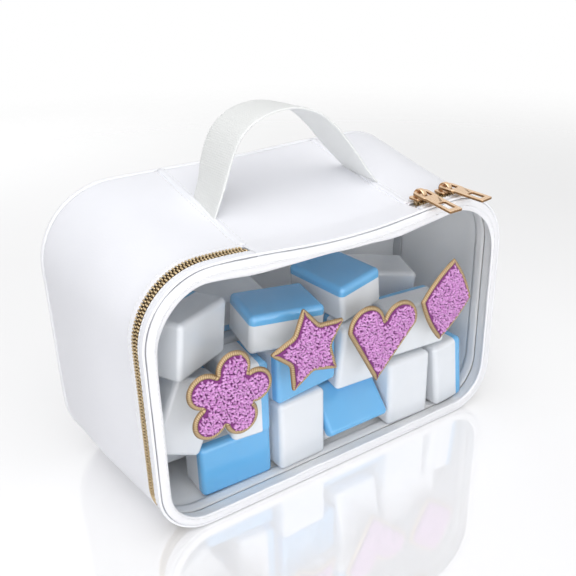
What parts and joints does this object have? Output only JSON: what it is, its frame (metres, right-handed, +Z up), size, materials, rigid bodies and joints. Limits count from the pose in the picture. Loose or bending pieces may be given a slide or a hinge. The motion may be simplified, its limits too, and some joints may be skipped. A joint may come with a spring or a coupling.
{
  "type": "mahjong tile bag",
  "caption": "Soft zip-round case for game tiles with a clear front flap, webbing carry handle, chenille motifs on the window and tiles inside.",
  "frame": {"origin": "on the floor under the middle of the bag's base", "axes": "+Z up, the clear front faces -Y, +X to the right seen from the front"},
  "size_m": [0.27, 0.1336, 0.2164],
  "materials": {
    "white_leatherette": "soft grained, low sheen",
    "white_piping": "smooth, low sheen",
    "pale_lining": "plain woven",
    "grey_binding": "ribbed tape",
    "white_webbing": "ribbed webbing",
    "zip_tape": "woven zip tape",
    "brass_teeth": "antique polished",
    "rose_gold": "plated, brushed faces",
    "white_binding": "smooth, low sheen",
    "clear_vinyl": "clear, glossy",
    "gold_embroidery": "metallic thread",
    "orchid_chenille": "looped pile",
    "tile_white": "polished",
    "tile_blue": "polished"
  },
  "bodies": {
    "bag_body": {"back_lining": "pale_lining", "back_panel": "white_leatherette", "back_piping": "white_piping", "base_panel": "white_leatherette", "cross_seam_left": "white_piping", "cross_seam_right": "white_piping", "gusset_lining": "pale_lining", "handle_tab_left": "white_webbing", "handle_tab_right": "white_webbing", "left_gusset": "white_leatherette", "right_gusset": "white_leatherette", "seam_binding": "grey_binding", "tile_backs_layer_1": "tile_blue", "tile_backs_layer_2": "tile_blue", "tile_backs_layer_3": "tile_blue", "tile_backs_layer_4": "tile_blue", "tile_faces_layer_1": "tile_white", "tile_faces_layer_2": "tile_white", "tile_faces_layer_3": "tile_white", "tile_faces_layer_4": "tile_white", "top_panel": "white_leatherette", "zip_end_tape": "zip_tape", "zip_end_teeth": "brass_teeth", "zip_tape_body": "zip_tape", "zip_teeth_body": "brass_teeth"},
    "front_flap": {"blossom_backing": "gold_embroidery", "blossom_pile": "orchid_chenille", "clear_window": "clear_vinyl", "diamond_backing": "gold_embroidery", "diamond_pile": "orchid_chenille", "flap_piping": "white_piping", "heart_backing": "gold_embroidery", "heart_pile": "orchid_chenille", "star_backing": "gold_embroidery", "star_pile": "orchid_chenille", "window_frame": "white_binding", "zip_tape_flap": "zip_tape", "zip_teeth_flap": "brass_teeth"},
    "carry_handle": {"handle_strap": "white_webbing"},
    "first_slider": {"slider_first": "rose_gold"},
    "first_pull": {"pull_first": "rose_gold"},
    "second_slider": {"slider_second": "rose_gold"},
    "second_pull": {"pull_second": "rose_gold"}
  },
  "joints": [
    {"name": "flap_open", "type": "hinge", "parent": "bag_body", "child": "front_flap", "pos_m": [0, -0.0555, 0.1554], "axis": [-1, 0, 0], "range_deg": [0, 90]},
    {"name": "handle_swing", "type": "hinge", "parent": "bag_body", "child": "carry_handle", "pos_m": [0, 0.002, 0.18229], "axis": [1, 0, 0], "range_deg": [-60, 60], "stiffness_Nm_per_rad": 0.03},
    {"name": "first_slider_slide", "type": "slide", "parent": "bag_body", "child": "first_slider", "axis": [1, 0, 0], "range_m": [0, 0.008]},
    {"name": "second_slider_corner", "type": "hinge", "parent": "bag_body", "child": "second_slider", "pos_m": [0.085, -0.0445, 0.117], "axis": [0, 1, 0], "range_deg": [0, 90]},
    {"name": "first_pull_flip", "type": "hinge", "parent": "first_slider", "child": "first_pull", "pos_m": [0.0645, -0.0445, 0.16125], "axis": [-1, 0, 0], "range_deg": [0, 150]},
    {"name": "second_pull_flip", "type": "hinge", "parent": "second_slider", "child": "second_pull", "pos_m": [0.085, -0.0445, 0.16125], "axis": [-1, 0, 0], "range_deg": [0, 150]}
  ]
}
